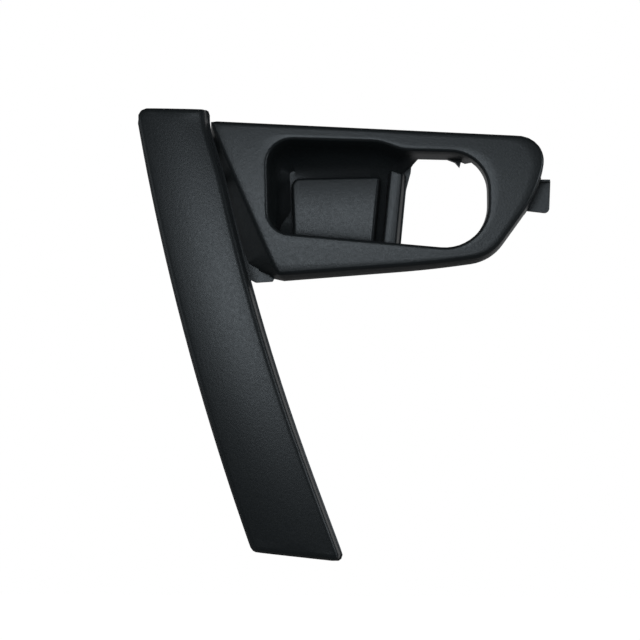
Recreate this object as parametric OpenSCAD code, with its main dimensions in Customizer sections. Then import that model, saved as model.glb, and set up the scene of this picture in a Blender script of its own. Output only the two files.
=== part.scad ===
// Trim cover of a car door's inner handle: a long cover for the pull handle and a
// bezel with a finger bowl that surrounds the release lever, joined from behind.
// X is to the right, Z is up and +Y points into the door. The origin is the centre
// of the lever opening, in the plane where the bezel's rear rim meets the door panel.

/* [Shells] */
// Wall thickness of both mouldings
wall = 2.5; // [1.8:0.1:3.1]
// Radius of the bezel's outer edge
bezel_edge_r = 2; // [1:0.1:3]
// Radius of the edge that runs round the bowl and the lever opening
rim_edge_r = 1.8; // [1:0.1:2.4]
// Radius of the pull cover's front edges
cover_edge_r = 3.2; // [1.5:0.1:5]
// Slope of the outer walls, as run for each millimetre of depth
outer_draft = 0.09; // [0:0.01:0.15]

/* [Bezel] */
// Lever centre to the crease beside the pull cover, at the top edge
bezel_left = 134.2; // [115:0.1:160]
// Lever centre to the corner of the top and right edges
bezel_right = 62.5; // [56:0.5:75]
// Height of the top edge above the lever centre
bezel_top = 39.3; // [37.5:0.1:46]
// Distance of the bottom edge below the lever centre
bezel_bottom = 37; // [35:0.1:44]
// Tilt of the top edge, in degrees
top_tilt = 3.1; // [2:0.1:5]
// Tilt of the bottom edge, in degrees
bottom_tilt = 4; // [2:0.1:5]
// How far the crease moves right on its way down
crease_shift = 39.6; // [30:0.1:43]
// How far the facet left of the crease runs back under the pull cover
crease_run = 18; // [15:0.5:20]
// Height over which that facet grows to its full run, above the bottom edge
crease_foot_h = 7; // [4:0.5:20]
// Radius of the top right corner
corner_top_r = 14.5; // [8:0.5:15]
// Radius of the bottom right corner
corner_bottom_r = 26; // [14:0.5:28]
// How far the front stands off the door at the right end
proud_right = 14; // [11:0.5:17]
// How far the front stands off the door at the left end
proud_left = 20; // [17:0.5:24]
// How far the front is crowned from its middle to its long edges
bezel_crown = 1.2; // [0:0.1:2]

/* [Finger bowl and lever opening] */
// Height of the opening's top edge above the lever centre
rim_top = 27.6; // [24:0.1:29]
// Distance of the opening's bottom edge below the lever centre
rim_low = 27.8; // [24:0.1:29]
// Lever centre to the right side of the opening
rim_right = 26.4; // [24:0.1:30]
// Radius of the opening's upper right corner
rim_top_r = 22; // [15:0.5:23]
// Radius of the opening's lower right corner
rim_low_r = 25; // [16:0.5:25]
// Distance of the bowl's left end from the top of the crease
bowl_inset = 32.9; // [30:0.1:42]
// How far the bowl's top edge rises above the opening's
bowl_rise = 4.6; // [3:0.1:5.5]
// Tilt of the rim's top edge, in degrees
rim_top_tilt = 2; // [1:0.1:4]
// Tilt of the rim's bottom edge, in degrees
rim_bottom_tilt = 5.3; // [4:0.1:7]
// Distance of the bowl's floor behind the door plane
floor_y = 14; // [10:0.5:18]
// How far the bowl's ceiling slopes inwards on its way to the floor
scoop = 14.5; // [8:0.5:15]
// Distance of the lever wall's rear end behind the door plane, along the top
lever_wall_y = 4; // [2:0.5:6]
// Depth of the lever wall along the right and the bottom
lever_wall_h = 9.5; // [9:0.5:12]
// Slope of the bowl's walls, as run for each millimetre of depth
inner_draft = 0.04; // [0.02:0.01:0.08]

/* [Raised block and rib] */
// Height of the raised block and of the rib above the bowl's floor
block_rise = 12; // [8:0.5:15]
// Height of the block's top edge above the lever centre
block_top = 16.3; // [12:0.1:16.5]
// Distance of the block from the bowl's left end
block_gap = 13.1; // [12:0.1:18]
// Width of the rib between the bowl and the lever opening
rib_w = 7.5; // [5:0.5:10]
// Width of the groove between the block and the rib
groove_w = 6; // [4:0.5:8]
// Width of the floor between the rib and the lever opening
land_w = 2.8; // [2:0.1:4]

/* [Pull cover] */
// Length of the pull cover along its left side
cover_len = 263.1; // [215:0.1:320]
// Width at the top end
cover_top_w = 43.2; // [38:0.1:50]
// Width at the bottom end
cover_bottom_w = 52.8; // [44:0.1:62]
// Lean of the left side at the top end, in degrees
lean_top = 11.3; // [9:0.1:14]
// Lean of the left side at the bottom end, in degrees
lean_bottom = 18.9; // [16:0.1:24]
// Depth from the front face to the rear rim
cover_deep = 12; // [10:0.5:16]
// Gap between the bezel's crease and the rear rim above it
cover_gap = 1.6; // [1:0.1:3]
// Radius of the front's long curve
bow_r = 1000; // [800:10:1400]
// How far the front is crowned from its middle to its sides
cover_crown = 1; // [0:0.1:2]
// Width of the lip round the rear rim
lip_w = 0.8; // [0.2:0.1:1.2]

/* [Tongue, tab and tooth] */
// How far the tongue at the right end reaches past the corner of the bezel
tongue_reach = 1.5; // [0.5:0.1:4]
// Height of the tongue's top edge above the lever centre
tongue_top = 14; // [12:0.1:16]
// Distance of the tongue's bottom edge below the lever centre
tongue_low = 4.6; // [3:0.1:6]
// Thickness of the door panel that the tongue slips behind
panel_t = 2.5; // [1.5:0.1:3]
// How far the tooth stands into the lever opening
tooth_drop = 4.7; // [3:0.1:5.5]
// How far the tab below the crease reaches under the bezel's bottom edge
tab_drop = 2.7; // [1:0.1:4]

/* [Fixing] */
// Diameter of the main locating pin
main_pin_d = 6; // [4:0.1:8]
// Diameter of the second locating pin
second_pin_d = 5; // [4:0.1:6]
// How far the locating pins reach behind the door plane
pin_reach = 9; // [6:0.5:14]
// Diameter of the screws' shanks
screw_d = 3.5; // [3:0.1:4.5]
// Length of the screws under the head
screw_len = 14; // [10:1:18]
// Outer diameter of the screw bosses
boss_d = 8; // [7:0.1:10]
// Width of the spring clips and of the blades that carry them
clip_w = 10; // [7:0.5:12]
// Thickness of the blades under the spring clips
blade_t = 2.4; // [1.8:0.1:3]
// Height of a spring clip
clip_h = 12; // [10:0.5:14]
// Thickness of the spring steel
clip_t = 0.6; // [0.4:0.1:0.8]
// Clearance between parts that fit together
fit = 0.15; // [0.1:0.05:0.25]

/* [Hidden] */
plastic = "#2c3135";
steel = "#b9bcc0";
zinc = "#c9c6bd";
arc_n = 16;
small_arc_n = 5;
bezel_n = [34, 26, 34, 16];
cover_n = [10, 26, 10, 26];
small_fn = 40;
// How deep one solid of a moulding runs into the next, so that they fuse
bite = 0.8;
// Vectors in the plane of X and Z
function unit(v) = v / norm(v);
function mix(a, b, t) = a + (b - a) * t;
function clamp(v) = max(0, min(1, v));
function turned(v, a) = [v.x * cos(a) - v.y * sin(a), v.x * sin(a) + v.y * cos(a)];
function lean(a) = [sin(a), -cos(a)];
function at_depth(p, y) = [p.x, y, p.y];

// Arc that rounds corner b, between its neighbours a and c, to radius r
function corner_arc(a, b, c, r, n) =
    let (u = unit(a - b))
    let (v = unit(c - b))
    let (half = acos(u * v) / 2)
    let (centre = b + unit(u + v) * r / sin(half))
    let (first = b + u * r / tan(half) - centre)
    let (sweep = sign(u.x * v.y - u.y * v.x) * (2 * half - 180))
    [for (i = [0:n]) centre + turned(first, sweep * i / n)];

// Closed outline through corners [x, z, r], each rounded by an arc of n steps
function outline(corners, n = small_arc_n) =
    let (m = len(corners))
    let (p = [for (c = corners) [c[0], c[1]]])
    [for (i = [0:m - 1]) each corner_arc(p[(i + m - 1) % m], p[i], p[(i + 1) % m], corners[i][2], n)];

// Radius of an arc at corner b that starts a given distance before the corner
function run_radius(a, b, c, run) = run * tan(acos(unit(a - b) * unit(c - b)) / 2);

// Stretch of an outline from the middle of one corner's arc to the middle of another's
function stretch(pts, a, b) =
    let (m = len(pts))
    let (from = a * (arc_n + 1) + arc_n / 2)
    let (till = b * (arc_n + 1) + arc_n / 2)
    [for (i = [from:till > from ? till : till + m]) pts[i % m]];

// Running length of a chain of points, and the point at a distance along it
function running(pts) =
    [for (i = 0, d = 0; i < len(pts); d = d + norm(pts[min(i + 1, len(pts) - 1)] - pts[i]), i = i + 1) d];
function point_at(pts, dist, d) =
    let (before = [for (i = [0:len(dist) - 2]) if (dist[i] <= d) i])
    let (i = before[len(before) - 1])
    mix(pts[i], pts[i + 1], (d - dist[i]) / max(1e-9, dist[i + 1] - dist[i]));
function steps(pts, n, crowd) =
    let (dist = running(pts))
    [for (i = [0:n - 1])
        let (share = mix(i / n, (1 - cos(180 * i / n)) / 2, crowd))
        point_at(pts, dist, dist[len(dist) - 1] * share)];

// A closed outline divided into steps between four marked corners; crowd is 0 for
// even steps and up to 1 for steps that close up towards the marked corners
function divided(corners, marks, counts, crowd) =
    let (pts = outline(corners, arc_n))
    [for (k = [0:3]) each steps(stretch(pts, marks[k], marks[(k + 1) % 4]), counts[k], crowd)];

// Directions into a closed clockwise outline, one at each point
function inward(pts) =
    let (m = len(pts))
    [for (i = [0:m - 1])
        let (d = unit(pts[(i + 1) % m] - pts[(i + m - 1) % m]))
        [d.y, -d.x]];

// Corners of an outline moved inwards by d, with radii to suit
function shrunk(corners, d) =
    let (m = len(corners))
    let (p = [for (c = corners) [c[0], c[1]]])
    [for (i = [0:m - 1])
        let (u = unit(p[(i + m - 1) % m] - p[i]))
        let (v = unit(p[(i + 1) % m] - p[i]))
        let (side = sign(u.x * v.y - u.y * v.x))
        let (q = p[i] + side * unit(u + v) * d / sin(acos(u * v) / 2))
        [q.x, q.y, max(corners[i][2] - side * d, 0.3)]];

// Solid between closed columns of points, where the last column joins the first
module ring_solid(columns) {
    m = len(columns);
    k = len(columns[0]);
    polyhedron(
        points = [for (c = columns) each c],
        faces = [for (i = [0:m - 1], j = [0:k - 1])
            let (a = i * k + j)
            let (b = i * k + (j + 1) % k)
            let (c = ((i + 1) % m) * k + (j + 1) % k)
            let (d = ((i + 1) % m) * k + j)
            each [[a, c, b], [a, d, c]]]);
}

// Flat shape in the plane of X and Z, between two depths
module slab(y0, y1) {
    translate([0, y1, 0]) rotate([90, 0, 0]) linear_extrude(y1 - y0) children();
}
// Cylinder along Y, from depth y0 to depth y1
module rod(p, r, y0, y1) {
    translate([p.x, y1, p.y]) rotate([90, 0, 0]) cylinder(h = y1 - y0, r = r, $fn = small_fn);
}

// Edges of the bezel's front
function top_line(x) = bezel_top - tan(top_tilt) * x;
function bottom_line(x) = -bezel_bottom + tan(bottom_tilt) * x;
crease_foot = crease_shift - bezel_left;
crease_top_z = top_line(-bezel_left);
crease_foot_z = bottom_line(crease_foot);
end_in = 9.3;
end_z = 2.4;
end_run = 13;
low_in = 35;
low_up = 4;
keel_in = 70.1;
keel_run = 18;
corner_ne = [bezel_right, top_line(bezel_right)];
corner_e = [bezel_right - end_in, end_z];
corner_se = [bezel_right - low_in, low_up - bezel_bottom];
corner_s = [bezel_right - keel_in, bottom_line(bezel_right - keel_in)];
corner_sw = [crease_foot, crease_foot_z];
crease_top_r = 1;
crease_foot_r = 3;
bezel_corners = [
    [-bezel_left, crease_top_z, crease_top_r],
    [corner_ne.x, corner_ne.y, corner_top_r],
    [corner_e.x, corner_e.y, run_radius(corner_ne, corner_e, corner_se, end_run)],
    [corner_se.x, corner_se.y, corner_bottom_r],
    [corner_s.x, corner_s.y, run_radius(corner_se, corner_s, corner_sw, keel_run)],
    [corner_sw.x, corner_sw.y, crease_foot_r]];
bezel_crowd = 0.4;
function bezel_loop(d) = divided(shrunk(bezel_corners, d), [0, 1, 3, 5], bezel_n, bezel_crowd);
bezel_edge = bezel_loop(0);
bezel_in = inward(bezel_edge);
function crease_x(z) =
    mix(-bezel_left, crease_foot, (crease_top_z - z) / (crease_top_z - crease_foot_z));

// Rim round the bowl and the lever opening
bowl_reach = bezel_left - bowl_inset;
step_left = -36.5;
step_right = -22.5;
step_r = 25;
bowl_top_r = 14.5;
bowl_low_r = 13;
bowl_low_shift = 1.4;
function rim_over(x) = rim_top - tan(rim_top_tilt) * x;
function rim_under(x) = -rim_low - tan(rim_bottom_tilt) * x;
rim_corners = [
    [-bowl_reach, rim_over(-bowl_reach) + bowl_rise, bowl_top_r],
    [step_left, rim_over(step_left) + bowl_rise, step_r],
    [step_right, rim_over(step_right), step_r],
    [rim_right, rim_over(rim_right), rim_top_r],
    [rim_right, rim_under(rim_right), rim_low_r],
    [bowl_low_shift - bowl_reach, rim_under(bowl_low_shift - bowl_reach), bowl_low_r]];
rim_edge = divided(rim_corners, [0, 3, 4, 5], bezel_n, 0);
rim_in = inward(rim_edge);

// Front surface of the bezel
function bezel_y(p) =
    let (t = (bezel_right - p.x) / (bezel_right + bezel_left))
    let (h = (2 * p.y - bezel_top + bezel_bottom) / (bezel_top + bezel_bottom))
    -mix(proud_right, proud_left, t) - bezel_crown * (1 - h * h);

// How far the outer wall runs outwards from its front edge to its rear rim; left of
// the crease the wall is a facet that leans back under the pull cover
crease_head_h = 45;
foot_share = 0.3;
facet_run = 1;
function is_facet(n) = n.x > 0.5;
function foot_run(p, n) =
    let (down = (crease_top_z - p.y) / crease_head_h)
    let (up = (p.y - crease_foot_z) / crease_foot_h)
    is_facet(n)
        ? [-crease_run * sin(90 * clamp(down)) * mix(foot_share, 1, clamp(up)) - facet_run, 0]
        : n * outer_draft * bezel_y(p);

// Left side of the lever opening, behind the rib; above its knee it leans further
opening_x = 21.4;
opening_lean = 0.1;
knee_z = 11;
knee_lean = 0.27;
function opening_left(z) = -opening_x + opening_lean * z;
function above_knee(z) = opening_left(knee_z) + knee_lean * (z - knee_z);

// Tooth at the top of the opening: its points from left to right, below the rim's edge
tooth_x = [1, 4.2, 8.3, 10.9, 11.8];
tooth_y = [0.2, 0.2, 0.36 * tooth_drop, tooth_drop, 0.32 * tooth_drop];
column_w = 3.6;

// Depth at which the wall round the bowl and the opening ends
function is_bowl(q) = q.x < opening_left(q.y) + column_w;
function wall_end(q) =
    is_bowl(q) ? floor_y :
    q.y > 0 && q.x < tooth_x[4] + column_w ? lever_wall_y : bezel_y(q) + lever_wall_h;

// How far the wall slopes inwards: most along the ceiling, less at the left end, and
// not beside the opening or along the bottom
fade_w = 14;
fade_from = 12;
end_share = 0.65;
end_w = 30;
function slope_in(q) =
    scoop * clamp((opening_left(q.y) + column_w - q.x) / fade_w)
    * clamp((q.y + rim_low - fade_from) / fade_w) * mix(end_share, 1, clamp((q.x + bowl_reach) / end_w));

// Inside and outside of that wall in section, as [run inwards, depth]; the slope
// follows a part of an ellipse's arc
slope_n = 4;
slope_turn = 55;
slope_from = 0.45;
function slope_angle(k) = slope_turn * k / slope_n;
function wall_inside(i, k) =
    let (yq = bezel_y(rim_edge[i]))
    let (y1 = wall_end(rim_edge[i]))
    let (y0 = mix(yq, y1, slope_from))
    let (a = slope_angle(k))
    let (y = mix(y0, y1, sin(a) / sin(slope_turn)))
    let (s = slope_in(rim_edge[i]) * (1 - cos(a)) / (1 - cos(slope_turn)))
    [s + inner_draft * (y - yq), y];
function wall_outside(i, k) =
    let (p = wall_inside(i, k))
    let (d = unit(wall_inside(i, min(k + 1, slope_n)) - wall_inside(i, max(k - 1, 0))))
    k == slope_n
        ? [p.x - wall * d.y, is_bowl(rim_edge[i]) ? floor_y + wall : p.y]
        : p + wall * [-d.y, d.x];
function wall_point(i, p) = at_depth(rim_edge[i] + rim_in[i] * p.x, p.y);

// Loops of the bezel's front, at their distances inside its edge
edge_step = 30;
edge_n = 3;
skin_gap = 0.6;
fillet = 1;
edge_loops = [for (k = [0:edge_n]) bezel_loop(bezel_edge_r * (1 - cos(edge_step * k)))];
face_loop = edge_loops[edge_n];
inner_loop = bezel_loop(wall);
skin_loop = bezel_loop(wall + skin_gap);
rim_step = 22.5;

// One section through the bezel's shell, from its rear rim over the front into the bowl
function bezel_section(i) =
    let (o = bezel_edge[i])
    let (n = bezel_in[i])
    let (q = rim_edge[i])
    let (m = rim_in[i])
    let (yo = bezel_y(o))
    let (yq = bezel_y(q))
    let (run = foot_run(o, n))
    let (rise = unit(at_depth(run, -yo)))
    let (thick = [is_facet(n) ? wall * (norm(run - yo * [0, 1]) / -yo - 1) : 0, 0])
    let (face_b = q - m * rim_edge_r)
    let (last = wall_inside(i, slope_n))
    concat(
        [at_depth(inner_loop[i] + run + thick, 0), at_depth(o + run, 0)],
        [for (k = [0:edge_n])
            let (a = edge_step * k)
            let (p = edge_loops[k][i])
            at_depth(p, mix(yo, bezel_y(face_loop[i]), 1 - cos(a))) + rise * bezel_edge_r * (1 - sin(a))],
        [for (t = [1:4])
            let (p = mix(face_loop[i], face_b, t / 5))
            at_depth(p, bezel_y(p))],
        [for (a = [0:rim_step:90])
            let (s = rim_edge_r * (1 - sin(a)))
            let (c = rim_edge_r * (1 - cos(a)))
            at_depth(q - m * s + m * inner_draft * c, mix(bezel_y(face_b), yq, 1 - cos(a)) + c)],
        [for (k = [0:slope_n]) wall_point(i, wall_inside(i, k))],
        [wall_point(i, is_bowl(q) ? [last.x, floor_y + wall] : last - [wall / 2, 0])],
        [for (k = [slope_n:-1:0]) wall_point(i, wall_outside(i, k))],
        [at_depth(q - m * wall, yq + wall + fillet), at_depth(q - m * (wall + fillet), yq + wall)],
        [for (t = [3:-1:1])
            let (p = mix(skin_loop[i] + thick, q - m * (wall + fillet), t / 4))
            at_depth(p, bezel_y(p) + wall)],
        [at_depth(inner_loop[i] + thick + run * wall / -yo, yo + wall)]);

// Raised cap with rounded edges, open at the back, whose corners change from front to base
module cap(front, base, y0, y1, t, r) {
    function ring(y, inset) =
        let (s = (y - y0) / (y1 - y0))
        let (corners = [for (i = [0:len(front) - 1]) mix(front[i], base[i], s)])
        [for (p = outline(shrunk(corners, inset))) at_depth(p, y)];
    rings = [
        ring(y1, t),
        ring(y1, 0),
        for (a = [0:30:90]) ring(y0 + r * (1 - sin(a)), r * (1 - cos(a))),
        ring(y0 + t, t)];
    k = len(rings);
    m = len(rings[0]);
    front_mid = mix(rings[k - 2][0], rings[k - 2][round(m / 2)], 0.5);
    inner_mid = mix(rings[k - 1][0], rings[k - 1][round(m / 2)], 0.5);
    // walls between two rings, and a fan from a ring to a point in its middle
    function band(g, h) =
        [for (i = [0:m - 1])
            let (j = (i + 1) % m)
            each [[g * m + i, h * m + j, h * m + i], [g * m + i, g * m + j, h * m + j]]];
    function fan(g, mid, flip) =
        [for (i = [0:m - 1])
            let (j = (i + 1) % m)
            flip ? [g * m + j, mid, g * m + i] : [g * m + i, mid, g * m + j]];
    polyhedron(
        points = concat([for (g = rings) each g], [front_mid, inner_mid]),
        faces = concat(
            [for (g = [0:k - 3]) each band(g, g + 1)],
            band(k - 1, 0),
            fan(k - 2, k * m, true),
            fan(k - 1, k * m + 1, false)));
}

// Lines of the rib and the block in the bowl, at their front faces
block_front = floor_y - block_rise;
side_slope = 0.1;
side_run = side_slope * block_rise;
rib_peak = 4.9;
rib_fall = 2.6;
block_lift = 0.6;
block_lean = 1.5;
function rib_right(z) = [opening_left(z) - land_w, z];
function rib_left(z) = [opening_left(z) - land_w - rib_w, z];
function block_right(z) = [opening_left(z) - land_w - rib_w - groove_w, z];
// Height of the middle of the bowl's bottom wall, half way up the block
function wall_z(x) =
    rim_under(x) + inner_draft * (floor_y - block_rise / 2 - bezel_y([x, rim_under(x)])) - wall / 2;
function rounded(p, r) = [p.x, p.y, r];
block_left = block_gap - bowl_reach;
block_low = wall_z(block_right(-rim_low).x);
rib_low = wall_z(rib_right(-rim_low).x);
rib_tops = [block_top + rib_peak, block_top + rib_peak - rib_fall];
foot_r = 0.8;
block_r = [5, 1.5];
rib_r = 1.2;
rib_side = 2 * side_run;
base_extra = 0.4;
block_corners = [
    rounded([block_left, block_top], block_r[0]),
    rounded(block_right(block_top + block_lift), block_r[1]),
    rounded(block_right(block_low), foot_r),
    rounded([block_left + block_lean, wall_z(block_left)], foot_r)];
block_base = [
    rounded([block_left - side_run, block_top + side_run], block_r[0] + base_extra),
    rounded(block_right(block_top + block_lift) + [side_run, side_run], block_r[1] + base_extra),
    rounded(block_right(block_low) + [side_run, 0], foot_r),
    rounded([block_left + block_lean - side_run, wall_z(block_left)], foot_r)];
rib_corners = [
    rounded(rib_left(rib_tops[0]), rib_r),
    rounded(rib_right(rib_tops[1]), rib_r),
    rounded(rib_right(rib_low), foot_r),
    rounded(rib_left(rib_low), foot_r)];
rib_base = [
    rounded(rib_left(rib_tops[0]) + [-side_run, side_run], rib_r + base_extra),
    rounded(rib_right(rib_tops[1]) + [rib_side, side_run], rib_r + base_extra),
    rounded(rib_right(rib_low) + [rib_side, 0], foot_r),
    rounded(rib_left(rib_low) + [-side_run, 0], foot_r)];
cap_t = 0.8 * wall;
cap_edge_r = [1.5, 1];
// Cut of the lever opening through the floor
cut_past = [2, 4];
cut_low = -rim_low - cut_past[0];
cut_high = rim_top + cut_past[1];
knee_r = 18;
opening_outline = [
    [opening_left(cut_low), cut_low, 1],
    [opening_left(knee_z), knee_z, knee_r],
    [above_knee(cut_high), cut_high, 1],
    [rim_right, cut_high, 1],
    [rim_right, cut_low, 1]];

module bowl_floor() {
    difference() {
        slab(floor_y, floor_y + wall) polygon([
            for (i = [0:len(rim_edge) - 1]) if (is_bowl(rim_edge[i]))
                rim_edge[i] + rim_in[i] * (wall_inside(i, slope_n).x - bite)]);
        slab(floor_y - 1, floor_y + wall + 1) polygon(outline(opening_outline));
        for (b = [block_base, rib_base])
            let (o = outline(b), n = inward(o))
            slab(floor_y - 1, floor_y + wall + 1)
                polygon([for (i = [0:len(o) - 1]) o[i] + n[i] * cap_t / 2]);
    }
    cap(block_corners, block_base, block_front, floor_y + wall, cap_t, cap_edge_r[0]);
    cap(rib_corners, rib_base, block_front, floor_y + wall, cap_t, cap_edge_r[1]);
}

// Barbed tooth that snaps behind the lever housing
tooth_t = 2.5;
module hook_tooth() {
    edge_z = rim_over(0) - inner_draft * (lever_wall_y - bezel_y([0, rim_top]));
    function at(k, drop) = [tooth_x[k], edge_z - tan(rim_top_tilt) * tooth_x[k] - drop];
    slab(lever_wall_y - tooth_t, lever_wall_y) polygon(concat(
        [at(0, -bite)],
        [for (k = [1:4]) at(k, tooth_y[k])],
        [at(4, -bite)]));
}

// Tongue at the right end that slips behind the door panel's skin, with a lip along
// its top edge; its root stands on the bezel's rear rim
tongue_gap = 0.5;
tongue_y = panel_t + tongue_gap;
tongue_x = bezel_right + tongue_reach;
tongue_start = 12;
tongue_slant = 1;
// Land of door panel between the hole for the main pin and the tongue's plate
pin_land = 4;
tongue_r = [0.5, 1, 2.5, 0.5];
root_out = 0.2;
root_over = 0.6;
root_wide = 1.4 * wall;
root_n = 6;
lip_h = 1.2;
lip_y = 2.2;
lip_start = 4;
lip_under = 0.1;
rim_east = [for (i = [0:len(bezel_edge) - 1]) if (bezel_edge[i].x > bezel_right - low_in)
    bezel_edge[i] + foot_run(bezel_edge[i], bezel_in[i])];
function east(z, d) = [lookup(z, [for (p = rim_east) [p.y, p.x]]) - d, z];
module tongue() {
    z0 = -tongue_low - tongue_slant;
    z1 = tongue_top;
    heights = [for (k = [0:root_n]) mix(z0 - root_over, z1 + root_over, k / root_n)];
    left = bezel_right - tongue_start;
    foot_x = main_pin.x + main_pin_d / 2 + pin_land;
    slab(-bite, tongue_y + wall) polygon(concat(
        [for (z = heights) east(z, -root_out)],
        [for (k = [root_n:-1:0]) east(heights[k], root_wide)]));
    slab(tongue_y, tongue_y + wall) polygon(outline([
        [left, z1 + root_over / 2, tongue_r[0]],
        [tongue_x, z1, tongue_r[1]],
        [tongue_x - tongue_slant, z0, tongue_r[2]],
        [foot_x, z0 + 2 * tongue_slant, tongue_r[3]]]));
    slab(tongue_y - lip_y, tongue_y + bite) polygon([
        [left + lip_start, z1 - lip_h],
        [left + lip_start, z1],
        [tongue_x - fillet / 2, z1 - lip_under],
        [tongue_x - fillet / 2, z1 - lip_h]]);
}

// Pin on a round foot that rises from the bezel's skin, with a tapered tip
pin_z = -1;
second_pin_z = 14;
pin_foot_w = 1.6;
pin_foot_y = -2;
pin_tip = 1.2;
pin_side = 1;
main_pin = [(rim_right + bezel_right - end_in) / 2, pin_z];
second_pin = [-bowl_reach - wall - second_pin_d / 2 - pin_foot_w - fillet, second_pin_z];
module locating_pin(p, d) {
    r = d / 2;
    rod(p, r + pin_foot_w, bezel_y(p) + wall / 2, pin_foot_y);
    rod(p, r, pin_foot_y - 1, pin_reach - pin_tip);
    translate([p.x, pin_reach - pin_tip, p.y]) rotate([-90, 0, 0])
        cylinder(h = pin_tip, r1 = r, r2 = r - pin_side, $fn = small_fn);
}

// Block and blade that carry one spring clip; p is in plan, y0 and y1 are the
// depths of the skin and of the block's top
tower_side = 2;
blade_gap = 0.2;
module clip_tower(p, y0, y1) {
    blade_h = clip_h - 1.5 * clip_t - fit - blade_gap;
    translate([p.x - clip_w / 2 - tower_side, y0, p.y - blade_t / 2 - tower_side])
        cube([clip_w + 2 * tower_side, y1 - y0, blade_t + 2 * tower_side]);
    translate([p.x - clip_w / 2, y1 - bite, p.y - blade_t / 2]) cube([clip_w, blade_h + bite, blade_t]);
}
upper_clip_in = 20.5;
upper_clip_z = 20;
lower_clip_in = 28;
lower_clip_x = lower_clip_in - bowl_reach;
bezel_clips = [
    [bezel_right - upper_clip_in, upper_clip_z],
    [lower_clip_x, (rim_under(lower_clip_x) + bottom_line(lower_clip_x)) / 2]];
bezel_tower_y = -2.5;

// Corners of the pull cover's rear rim, clockwise from the top left. Its right side
// has a neck beside the bezel's top corner
cover_past = 42.7;
cover_above = 6.6;
top_cut = 1.8;
bottom_cut = 6;
belly = 0.95;
side_run_n = 0.93;
neck = [0.4, -10.3];
waist = [10.4, -41.8];
cover_nw_r = 7;
cover_ne_r = 2.5;
neck_r = 6;
waist_r = 100;
cover_se_r = 3.5;
cover_sw_r = 4.5;
cover_nw = [-bezel_left - cover_past, crease_top_z + cover_above];
cover_w = cover_nw + lean(lean_top) * cover_len / 2;
cover_sw = cover_w + lean(lean_bottom) * cover_len / 2;
cover_ne = cover_nw + [cover_top_w, -tan(top_cut) * cover_top_w];
cover_se = cover_sw + [cover_bottom_w, -tan(bottom_cut) * cover_bottom_w];
cover_waist = cover_ne + waist;
cover_e = cover_w + [
    (cover_top_w + cover_bottom_w) / 2 + belly,
    -(tan(top_cut) * cover_top_w + tan(bottom_cut) * cover_bottom_w) / 2];
cover_corners = [
    rounded(cover_nw, cover_nw_r),
    rounded(cover_ne, cover_ne_r),
    rounded(cover_ne + neck, neck_r),
    rounded(cover_waist, waist_r),
    rounded(cover_e, run_radius(cover_waist, cover_e, cover_se, side_run_n * norm(cover_waist - cover_e))),
    rounded(cover_se, cover_se_r),
    rounded(cover_sw, cover_sw_r),
    rounded(cover_w, run_radius(cover_sw, cover_w, cover_nw, side_run_n * cover_len / 2))];
cover_crowd = 0.85;
function cover_loop(d) = divided(shrunk(cover_corners, d), [0, 1, 5, 6], cover_n, cover_crowd);
cover_edge = cover_loop(0);
// Front surface of the pull cover at height z, a share t of its width from the left;
// its rear rim clears the bezel's crease
bow_peak_down = 113.2;
bow_peak_z = cover_nw.y - bow_peak_down;
cover_proud = proud_left + cover_gap + cover_crown + cover_deep + pow(bow_peak_down, 2) / (2 * bow_r);
function cover_y(z, t) =
    -cover_proud + pow(z - bow_peak_z, 2) / (2 * bow_r) + cover_crown * pow(2 * t - 1, 2);
across_n = cover_n[0];
down_n = cover_n[1];
rim_n = 2 * across_n + 2 * down_n;
function across(i) =
    i < across_n ? i / across_n :
    i < across_n + down_n ? 1 :
    i < 2 * across_n + down_n ? 1 - (i - across_n - down_n) / across_n : 0;
// A ring of the cover's shell, inset from the rear rim and a distance behind the front
function cover_ring(inset, back) =
    let (loop = cover_loop(inset))
    [for (i = [0:rim_n - 1]) at_depth(loop[i], cover_y(cover_edge[i].y, across(i)) + back)];
// Points across the cover between the left and right sides of a ring
function cover_grid(ring) =
    [for (j = [1:down_n - 1], k = [1:across_n - 1])
        let (a = ring[rim_n - j])
        let (b = ring[across_n + j])
        let (t = k / across_n)
        let (p = mix(a, b, t))
        [p.x, mix(a.y, b.y, t) - cover_crown * (1 - pow(2 * t - 1, 2)), p.z]];

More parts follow.
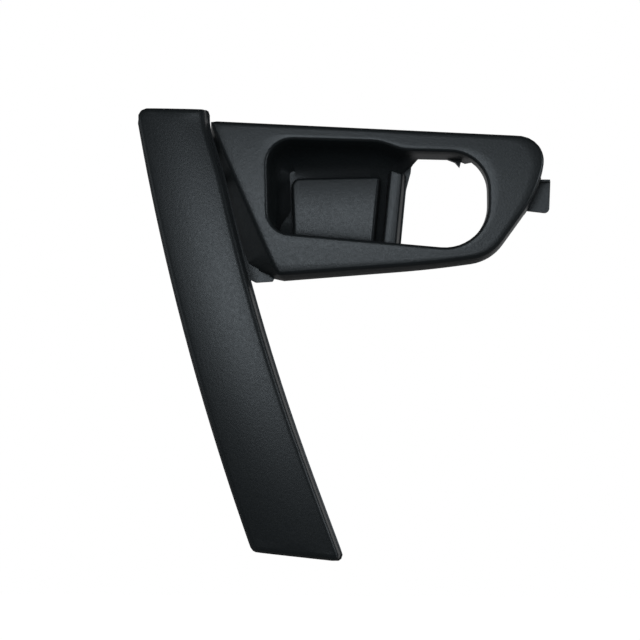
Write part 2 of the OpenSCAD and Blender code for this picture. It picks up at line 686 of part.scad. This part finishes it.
lip_t = 1;
module cover_shell() {
    r = cover_edge_r;
    wall_in = lip_w + outer_draft * (cover_deep - r);
    outer = [
        cover_ring(0, cover_deep),
        cover_ring(0, cover_deep - lip_t),
        cover_ring(lip_w, cover_deep - lip_t - lip_w),
        for (a = [0:rim_step:90]) cover_ring(wall_in + r * (1 - cos(a)), r * (1 - sin(a)))];
    inner = [
        cover_ring(wall_in + wall, wall),
        cover_ring(wall_in - outer_draft * cover_deep + wall, cover_deep)];
    g_out = cover_grid(outer[len(outer) - 1]);
    g_in = cover_grid(inner[0]);
    k_out = len(outer);
    pts = concat([for (g = outer) each g], [for (g = inner) each g], g_out, g_in);
    base_out = (k_out + 2) * rim_n;
    base_in = base_out + len(g_out);
    // index of a grid point, taken from the ring on its border
    function at(j, k, ring0, grid0) =
        j == 0 ? ring0 + k :
        j == down_n ? ring0 + across_n + down_n + across_n - k :
        k == 0 ? ring0 + rim_n - j :
        k == across_n ? ring0 + across_n + j :
        grid0 + (j - 1) * (across_n - 1) + k - 1;
    function band(a0, b0) =
        [for (i = [0:rim_n - 1])
            let (i2 = (i + 1) % rim_n)
            each [[a0 + i, b0 + i2, b0 + i], [a0 + i, a0 + i2, b0 + i2]]];
    function face(ring0, grid0, flip) =
        [for (j = [0:down_n - 1], k = [0:across_n - 1])
            let (a = at(j, k, ring0, grid0))
            let (b = at(j, k + 1, ring0, grid0))
            let (c = at(j + 1, k + 1, ring0, grid0))
            let (d = at(j + 1, k, ring0, grid0))
            each flip ? [[a, c, b], [a, d, c]] : [[a, b, c], [a, c, d]]];
    polyhedron(points = pts, faces = concat(
        [for (k = [0:k_out - 2]) each band(k * rim_n, (k + 1) * rim_n)],
        face((k_out - 1) * rim_n, base_out, false),
        face(k_out * rim_n, base_in, true),
        band(k_out * rim_n, (k_out + 1) * rim_n),
        band((k_out + 1) * rim_n, 0)));
}

// Middle of the pull cover at height z, and its left and right sides there
function side_x(z, first) =
    let (pts = [for (k = [0:down_n]) cover_edge[(first + k) % rim_n]])
    lookup(z, [for (p = pts) [p.y, p.x]]);
function cover_left(z) = side_x(z, rim_n - down_n);
function cover_right(z) = side_x(z, across_n);
function cover_mid(z) = [(cover_left(z) + cover_right(z)) / 2, z];

// Plate under the pull cover that takes the joining screws
link_y = -9;
link_grip = 1.8;
link_land = 4;
link_margin = 8;
boss_z = [crease_top_z - 16, crease_top_z - 36];
bosses = [for (z = boss_z) cover_mid(z)];
function slant_x(z, y) =
    let (p = [crease_x(z), z])
    p.x + foot_run(p, [1, 0]).x * (1 - y / bezel_y(p));
module link_plate() {
    heights = [for (k = [0:6]) mix(boss_z[1] - link_margin, boss_z[0] + link_margin, k / 6)];
    difference() {
        slab(link_y, link_y + wall) polygon(concat(
            [for (z = heights) cover_mid(z) - [boss_d / 2 + link_land, 0]],
            [for (k = [6:-1:0]) [slant_x(heights[k], link_y + wall / 2) + link_grip, heights[k]]]));
        for (b = bosses) rod(b, screw_d / 2 + 2 * fit, link_y - 1, link_y + wall + 1);
    }
}

// Tab that shows below the crease, behind the pull cover. Its corners are measured
// from the crease's foot and the tab's lowest point, and the third value is a radius
tab_y = -5;
tab_corners = [
    [-30, 9, 3],
    [-30, 24, 3],
    [-11, 16, 1],
    [-2.5, 3.5, 0.6],
    [-4, 0.6, 1],
    [-14, 0, 3]];
module lower_tab() {
    z0 = crease_foot_z - tab_drop;
    slab(tab_y, tab_y + wall)
        polygon(outline([for (c = tab_corners) [crease_foot + c[0], z0 + c[1], c[2]]]));
}

// Thin web across the back of the bezel, between its outer wall and the rim's wall,
// whose front edge lies in the bezel's skin
stiffener_t = 1.5;
stiffener_y = -3;
stiffeners = [8, 22, 40, 58, 66, 76, 84, 106];
module stiffener(i) {
    a = bezel_edge[i] + bezel_in[i] * bite;
    b = rim_edge[i] - rim_in[i] * bite;
    translate([a.x, 0, a.y]) rotate([0, -atan2(b.y - a.y, b.x - a.x), 0])
        linear_extrude(stiffener_t, center = true) polygon([
            [0, bezel_y(a) + wall / 2],
            [norm(b - a), bezel_y(b) + wall / 2],
            [norm(b - a), min(stiffener_y, wall_end(rim_edge[i]) - bite)],
            [0, stiffener_y]]);
}

module lever_bezel() color(plastic) {
    ring_solid([for (i = [0:len(bezel_edge) - 1]) bezel_section(i)]);
    bowl_floor();
    hook_tooth();
    tongue();
    locating_pin(main_pin, main_pin_d);
    locating_pin(second_pin, second_pin_d);
    for (p = bezel_clips) clip_tower(p, bezel_y(p) + wall / 2, bezel_tower_y);
    link_plate();
    lower_tab();
    for (i = stiffeners) stiffener(i);
}

// Clips and ribs, at their shares of the cover's length below its top
clip_shares = [0.372, 0.627, 0.878];
rib_shares = [0.27, 0.498, 0.753];
function down_cover(share) = cover_nw.y - share * cover_len;
cover_clips = [for (s = clip_shares) down_cover(s)];
cover_ribs = [for (s = rib_shares) down_cover(s)];
tower_deep = 8.5;
rib_t = 1.5;
rib_deep = 6.5;
skin_in = 1.7;

// Boss for a joining screw, on four fins
fin_w = 2.5;
fin_h = 12;
hole_side = 0.1;
module screw_boss(p) {
    y0 = cover_y(p.y, 0.5) + skin_in;
    difference() {
        union() {
            rod(p, boss_d / 2, y0, link_y);
            for (turn = [0, 90])
                translate([p.x, 0, p.y]) rotate([0, turn, 0])
                    translate([-boss_d / 2 - fin_w, y0, -rib_t / 2])
                        cube([boss_d + 2 * fin_w, min(fin_h, link_y - y0 - fillet), rib_t]);
        }
        rod(p, screw_d / 2 - hole_side, link_y + wall - screw_len - rib_t, link_y + 1);
    }
}

// Rib across the cover's back, which ends inside its side walls
module cover_rib(z) {
    side = lip_w + outer_draft * cover_deep + wall / 2;
    y0 = cover_y(z, 0.5);
    translate([cover_left(z) + side, y0 + skin_in, z - rib_t / 2])
        cube([cover_right(z) - cover_left(z) - 2 * side, rib_deep - skin_in, rib_t]);
}

module pull_cover() color(plastic) {
    cover_shell();
    for (b = bosses) screw_boss(b);
    for (z = cover_clips)
        clip_tower(cover_mid(z), cover_y(z, 0.5) + skin_in, cover_y(z, 0.5) + tower_deep);
    for (z = cover_ribs) cover_rib(z);
}

// Strip of metal of thickness clip_t along a path, as an outline
function strip(path) =
    let (m = len(path))
    let (dirs = [for (i = [0:m - 1])
        let (d = unit(path[min(i + 1, m - 1)] - path[max(i - 1, 0)]))
        [-d.y, d.x] * clip_t / 2])
    concat([for (i = [0:m - 1]) path[i] + dirs[i]], [for (i = [m - 1:-1:0]) path[i] - dirs[i]]);

// Spring clip folded over a blade, whose block's top is at depth y. Its sides are
// given as [distance from the blade's middle, height]
clip_bulge = 3.2;
clip_side = 0.5;
side_z = [0.3, 2, 5, 6];
bend_down = [1.6, 0.7, 0.1];
bend_share = [0.9, 0.72, 0.25];
module spring_clip(p, y) {
    h = blade_t / 2 + fit + clip_t / 2;
    side = [
        [h, side_z[0]],
        [h, side_z[1]],
        [h + clip_bulge, side_z[2]],
        [h + bend_share[0] * clip_bulge, side_z[3]],
        [h + fit, clip_h - bend_down[0]],
        [bend_share[1] * h, clip_h - bend_down[1]],
        [bend_share[2] * h, clip_h - clip_t / 2 - bend_down[2]]];
    path = concat(side, [for (i = [len(side) - 1:-1:0]) [-side[i].x, side[i].y]]);
    translate([p.x, y, p.y]) rotate([90, 0, 90])
        translate([0, 0, clip_side - clip_w / 2]) linear_extrude(clip_w - 2 * clip_side)
        polygon([for (q = strip(path)) [q.y, q.x]]);
}

module spring_clips() color(steel) {
    for (p = bezel_clips) spring_clip(p, bezel_tower_y);
    for (z = cover_clips) spring_clip(cover_mid(z), cover_y(z, 0.5) + tower_deep);
}

// Pan head screw whose head rests at depth y and whose shank points to the front
tip_h = 1.5;
tip_r = 0.6;
head_h = 1.5;
dome_h = 0.8;
slot_w = 0.9;
slot_len = 4;
slot_deep = 1.3;
module pan_screw(p, y) {
    head_r = 1.1 * screw_d;
    shank_r = screw_d / 2 - fit;
    translate([p.x, y, p.y]) rotate([-90, 0, 0]) difference() {
        union() {
            translate([0, 0, tip_h - screw_len])
                cylinder(h = screw_len - tip_h, r = shank_r, $fn = small_fn);
            translate([0, 0, -screw_len])
                cylinder(h = tip_h, r1 = tip_r, r2 = shank_r, $fn = small_fn);
            cylinder(h = head_h, r = head_r, $fn = small_fn);
            translate([0, 0, head_h])
                cylinder(h = dome_h, r1 = head_r, r2 = head_r - dome_h, $fn = small_fn);
        }
        for (turn = [0, 90]) rotate([0, 0, turn])
            translate([-slot_len / 2, -slot_w / 2, head_h + dome_h - slot_deep])
                cube([slot_len, slot_w, slot_deep + 1]);
    }
}
module joining_screws() color(zinc) {
    for (b = bosses) pan_screw(b, link_y + wall);
}

pull_cover();
lever_bezel();
spring_clips();
joining_screws();
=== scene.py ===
"""Looks of the door handle trim cover: satin charcoal mouldings on white, in soft light."""
import math

import bpy
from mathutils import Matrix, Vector

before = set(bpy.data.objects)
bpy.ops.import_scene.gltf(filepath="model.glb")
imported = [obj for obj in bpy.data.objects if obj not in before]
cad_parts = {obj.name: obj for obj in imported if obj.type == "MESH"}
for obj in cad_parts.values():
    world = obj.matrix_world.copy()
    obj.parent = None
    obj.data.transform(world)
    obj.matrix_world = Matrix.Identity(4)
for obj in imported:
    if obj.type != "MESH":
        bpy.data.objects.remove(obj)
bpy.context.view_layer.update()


# The photograph's view, with a long lens
VIEW_AZIMUTH = math.radians(3)
VIEW_ELEVATION = math.radians(-4.5)
VIEW_DISTANCE = 0.732
VIEW_TARGET = (-0.07019, -0.018, -0.06942)
SENSOR_WIDTH = 36
LENS_LENGTH = 72.2
NEAREST_SEEN = 0.05
FARTHEST_SEEN = 20

# Shading of the CAD facets
SMOOTH_ANGLE = math.radians(38)
WELD_REACH = 1e-6

# Noise stays mostly between these values
NOISE_LOW = 0.3
NOISE_HIGH = 0.7

# The plastic's recesses: openness runs from 0 in a tight corner to 1 in the open
RECESS_REACH = 0.011
RECESS_SAMPLES = 8
RECESS_OPENNESS = 0.4
SKIN_OPENNESS = 0.72
RECESS_ROUGHNESS = 0.95
SKIN_ROUGHNESS = 0.315
ROUGHNESS_VARIATION = 0.16

# The marks that rolling leaves on spring strip are long along Z
ROLLED_ALONG = (1, 1, 20)

# The lamps all point at one place near the middle of the part
LAMP_AIM = (-0.09, 0, -0.05)

# The world's strength: to the camera, in diffuse light and in reflections. A reflection
# goes from the room's strength to the back's as its direction's share along Y goes from
# ROOM_END to BACK_START
CAMERA_WHITE = 1
ROOM_LIGHT = 0.6
ROOM_GLOSS = 0.02
BACK_GLOSS = 0.5
ROOM_END = 0.55
BACK_START = 0.95

# The floor
FLOOR_SIZE = 2
FLOOR_CENTRE = (0, 0.65, -0.45)
FLOOR_COLOUR = (0.1, 0.1, 0.1, 1)
FLOOR_ROUGHNESS = 0.9
FLOOR_GLOW = 0.95

WHITE = (1, 1, 1, 1)


def new_material(name):
    """A new material, its node tree and its shader."""
    material = bpy.data.materials.new(name)
    material.use_nodes = True
    tree = material.node_tree
    return material, tree, tree.nodes["Principled BSDF"]


def noise(tree, size, detail=2, stretch=(1, 1, 1)):
    """Noise whose features are about size metres wide, longer along a stretched axis."""
    place = tree.nodes.new("ShaderNodeTexCoord")
    scale = tree.nodes.new("ShaderNodeVectorMath")
    scale.operation = "DIVIDE"
    scale.inputs[1].default_value = [size * s for s in stretch]
    tree.links.new(place.outputs["Object"], scale.inputs[0])
    made = tree.nodes.new("ShaderNodeTexNoise")
    made.inputs["Scale"].default_value = 1
    made.inputs["Detail"].default_value = detail
    tree.links.new(scale.outputs[0], made.inputs["Vector"])
    return made.outputs["Fac"]


def openness(tree):
    """How open the surface is, from 0 in a tight corner to 1 in the open."""
    made = tree.nodes.new("ShaderNodeAmbientOcclusion")
    made.samples = RECESS_SAMPLES
    made.inputs["Distance"].default_value = RECESS_REACH
    return made.outputs["AO"]


def remapped(tree, factor, start, end, low, high, course="LINEAR"):
    """A value that goes from low to high as the factor goes from start to end."""
    made = tree.nodes.new("ShaderNodeMapRange")
    made.interpolation_type = course
    made.inputs["From Min"].default_value = start
    made.inputs["From Max"].default_value = end
    made.inputs["To Min"].default_value = low
    made.inputs["To Max"].default_value = high
    tree.links.new(factor, made.inputs["Value"])
    return made.outputs[0]


def mixed(tree, factor, first, second):
    """The first value where the factor is 0, the second where it is 1."""
    made = tree.nodes.new("ShaderNodeMix")
    tree.links.new(factor, made.inputs["Factor"])
    for socket, value in ((made.inputs["A"], first), (made.inputs["B"], second)):
        if isinstance(value, (int, float)):
            socket.default_value = value
        else:
            tree.links.new(value, socket)
    return made.outputs["Result"]


def colour_by(tree, shader, factor, first, second):
    """Base colour from the first to the second as the factor goes from 0 to 1."""
    made = tree.nodes.new("ShaderNodeMix")
    made.data_type = "RGBA"
    made.inputs["A"].default_value = (*first, 1)
    made.inputs["B"].default_value = (*second, 1)
    tree.links.new(factor, made.inputs["Factor"])
    tree.links.new(made.outputs["Result"], shader.inputs["Base Color"])


def roughness_by(tree, shader, factor, low, high):
    """Roughness from low to high as noise goes over the middle of its range."""
    rough = remapped(tree, factor, NOISE_LOW, NOISE_HIGH, low, high)
    tree.links.new(rough, shader.inputs["Roughness"])


def bump(tree, shader, height, depth, strength):
    """Fine relief on the shader, depth metres from height 0 to height 1 at full strength."""
    made = tree.nodes.new("ShaderNodeBump")
    made.inputs["Distance"].default_value = depth
    made.inputs["Strength"].default_value = strength
    tree.links.new(height, made.inputs["Height"])
    tree.links.new(made.outputs[0], shader.inputs["Normal"])


def recess_roughness(tree):
    """Satin in the open and rough in tight recesses, so that those show no sheen."""
    return remapped(
        tree, openness(tree), start=RECESS_OPENNESS, end=SKIN_OPENNESS,
        low=RECESS_ROUGHNESS, high=SKIN_ROUGHNESS)


def moulded_plastic():
    """Satin charcoal plastic with a fine moulded grain, rougher in its recesses."""
    material, tree, shader = new_material("moulded_plastic")
    dark = (0.0042, 0.0056, 0.0063)
    light = (0.0078, 0.0102, 0.0114)
    colour_by(tree, shader, noise(tree, size=0.0007, detail=3), dark, light)
    varied = tree.nodes.new("ShaderNodeMath")
    varied.operation = "MULTIPLY_ADD"
    varied.inputs[1].default_value = ROUGHNESS_VARIATION
    tree.links.new(noise(tree, size=0.0016, detail=3), varied.inputs[0])
    tree.links.new(recess_roughness(tree), varied.inputs[2])
    tree.links.new(varied.outputs[0], shader.inputs["Roughness"])
    shader.inputs["Specular IOR Level"].default_value = 0.5
    shader.inputs["Specular Tint"].default_value = (0.82, 0.92, 1, 1)
    bump(tree, shader, noise(tree, size=0.0013, detail=3), depth=0.00009, strength=0.7)
    return material


def rolled_steel():
    """Bright spring strip, with fine marks along the way it was rolled."""
    material, tree, shader = new_material("rolled_steel")
    dull = (0.50, 0.51, 0.53)
    bright = (0.58, 0.59, 0.60)
    colour_by(tree, shader, noise(tree, size=0.004), dull, bright)
    shader.inputs["Metallic"].default_value = 1
    marks = noise(tree, size=0.0003, detail=3, stretch=ROLLED_ALONG)
    roughness_by(tree, shader, marks, low=0.22, high=0.38)
    bump(tree, shader, marks, depth=0.00001, strength=0.4)
    return material


def zinc_plate():
    """Zinc plated steel, slightly clouded."""
    material, tree, shader = new_material("zinc_plate")
    dull = (0.52, 0.50, 0.44)
    bright = (0.64, 0.63, 0.58)
    colour_by(tree, shader, noise(tree, size=0.002, detail=3), dull, bright)
    shader.inputs["Metallic"].default_value = 1
    roughness_by(tree, shader, noise(tree, size=0.0006, detail=3), low=0.28, high=0.42)
    bump(tree, shader, noise(tree, size=0.0004, detail=3), depth=0.00001, strength=0.3)
    return material


def smooth(obj):
    """Shades a CAD node's facets smoothly where they meet at less than the smooth angle.
    The node's own mesh stays as it is, because modifiers do it."""
    weld = obj.modifiers.new("weld", "WELD")
    weld.merge_threshold = WELD_REACH
    tree = bpy.data.node_groups.new("smooth_" + obj.name, "GeometryNodeTree")
    tree.interface.new_socket("Geometry", in_out="INPUT", socket_type="NodeSocketGeometry")
    tree.interface.new_socket("Geometry", in_out="OUTPUT", socket_type="NodeSocketGeometry")
    start = tree.nodes.new("NodeGroupInput")
    end = tree.nodes.new("NodeGroupOutput")
    normals = tree.nodes.new("GeometryNodeSetMeshNormal")
    normals.mode = "SHARPNESS"
    turn = tree.nodes.new("GeometryNodeInputMeshEdgeAngle")
    sharp = tree.nodes.new("FunctionNodeCompare")
    sharp.operation = "GREATER_EQUAL"
    sharp.inputs["B"].default_value = SMOOTH_ANGLE
    tree.links.new(start.outputs[0], normals.inputs["Mesh"])
    tree.links.new(turn.outputs["Unsigned Angle"], sharp.inputs["A"])
    tree.links.new(sharp.outputs[0], normals.inputs["Edge Sharpness"])
    tree.links.new(normals.outputs[0], end.inputs[0])
    obj.modifiers.new("smooth", "NODES").node_group = tree


def finish_nodes():
    """Gives each CAD node its material and its smooth shading."""
    plastic = moulded_plastic()
    looks = {
        "pull_cover": plastic,
        "lever_bezel": plastic,
        "spring_clips": rolled_steel(),
        "joining_screws": zinc_plate(),
    }
    for name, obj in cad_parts.items():
        for slot in obj.material_slots:
            slot.material = looks[name]
        smooth(obj)


def put_in_scene(obj, location, direction):
    """Puts a camera or lamp in the scene so that it looks along the direction."""
    obj.location = location
    obj.rotation_mode = "QUATERNION"
    obj.rotation_quaternion = direction.to_track_quat("-Z", "Y")
    bpy.context.scene.collection.objects.link(obj)


def camera():
    """The photograph's view: almost square on and a little from below."""
    back = Vector((
        math.sin(VIEW_AZIMUTH) * math.cos(VIEW_ELEVATION),
        -math.cos(VIEW_AZIMUTH) * math.cos(VIEW_ELEVATION),
        math.sin(VIEW_ELEVATION)))
    data = bpy.data.cameras.new("camera")
    data.sensor_width = SENSOR_WIDTH
    data.lens = LENS_LENGTH
    data.clip_start = NEAREST_SEEN
    data.clip_end = FARTHEST_SEEN
    obj = bpy.data.objects.new("camera", data)
    put_in_scene(obj, Vector(VIEW_TARGET) + back * VIEW_DISTANCE, -back)
    bpy.context.scene.camera = obj


def softbox(name, position, size, radiance):
    """A square lamp of even radiance, which the camera doesn't see."""
    data = bpy.data.lights.new(name, "AREA")
    data.shape = "SQUARE"
    data.size = size
    data.energy = radiance * math.pi * size * size
    obj = bpy.data.objects.new(name, data)
    obj.visible_camera = False
    put_in_scene(obj, position, Vector(LAMP_AIM) - Vector(position))


def camera_rays(tree):
    """1 on the rays from the camera."""
    return tree.nodes.new("ShaderNodeLightPath").outputs["Is Camera Ray"]


def showing_rays(tree):
    """1 on the rays that show a background: from the camera, mirrored or let through."""
    path = tree.nodes.new("ShaderNodeLightPath")
    most = path.outputs["Is Camera Ray"]
    for name in ("Is Glossy Ray", "Is Transmission Ray"):
        made = tree.nodes.new("ShaderNodeMath")
        made.operation = "MAXIMUM"
        tree.links.new(most, made.inputs[0])
        tree.links.new(path.outputs[name], made.inputs[1])
        most = made.outputs[0]
    return most


def white_world():
    """White to the camera, and an even soft light all round. Reflections see the white
    straight behind the object at half strength, and the rest of the room nearly dark."""
    world = bpy.data.worlds.new("studio")
    bpy.context.scene.world = world
    world.use_nodes = True
    tree = world.node_tree
    tree.nodes.clear()
    direction = tree.nodes.new("ShaderNodeTexCoord")
    split = tree.nodes.new("ShaderNodeSeparateXYZ")
    tree.links.new(direction.outputs["Generated"], split.inputs[0])
    gloss = remapped(
        tree, split.outputs["Y"], start=ROOM_END, end=BACK_START,
        low=ROOM_GLOSS, high=BACK_GLOSS, course="SMOOTHSTEP")
    off_camera = mixed(tree, showing_rays(tree), ROOM_LIGHT, gloss)
    strength = mixed(tree, camera_rays(tree), off_camera, CAMERA_WHITE)
    background = tree.nodes.new("ShaderNodeBackground")
    background.inputs["Color"].default_value = WHITE
    output = tree.nodes.new("ShaderNodeOutputWorld")
    tree.links.new(strength, background.inputs["Strength"])
    tree.links.new(background.outputs[0], output.inputs[0])


def floor():
    """A dark grey floor that glows white to the camera only, and takes a faint shadow."""
    bpy.ops.mesh.primitive_plane_add(size=FLOOR_SIZE, location=FLOOR_CENTRE)
    obj = bpy.context.object
    obj.name = "floor"
    material, tree, shader = new_material("white_floor")
    shader.inputs["Base Color"].default_value = FLOOR_COLOUR
    shader.inputs["Roughness"].default_value = FLOOR_ROUGHNESS
    shader.inputs["Emission Color"].default_value = WHITE
    glow = mixed(tree, camera_rays(tree), 0, FLOOR_GLOW)
    tree.links.new(glow, shader.inputs["Emission Strength"])
    obj.data.materials.append(material)


finish_nodes()
camera()
softbox("front_softbox", position=(-0.1, -1.3, 0.13), size=0.5, radiance=5.9)
softbox("side_softbox", position=(1.3, -0.25, 0.1), size=0.6, radiance=3)
softbox("left_softbox", position=(-1.3, -0.35, 0), size=0.9, radiance=0.7)
white_world()
floor()
bpy.context.scene.view_settings.view_transform = "Standard"
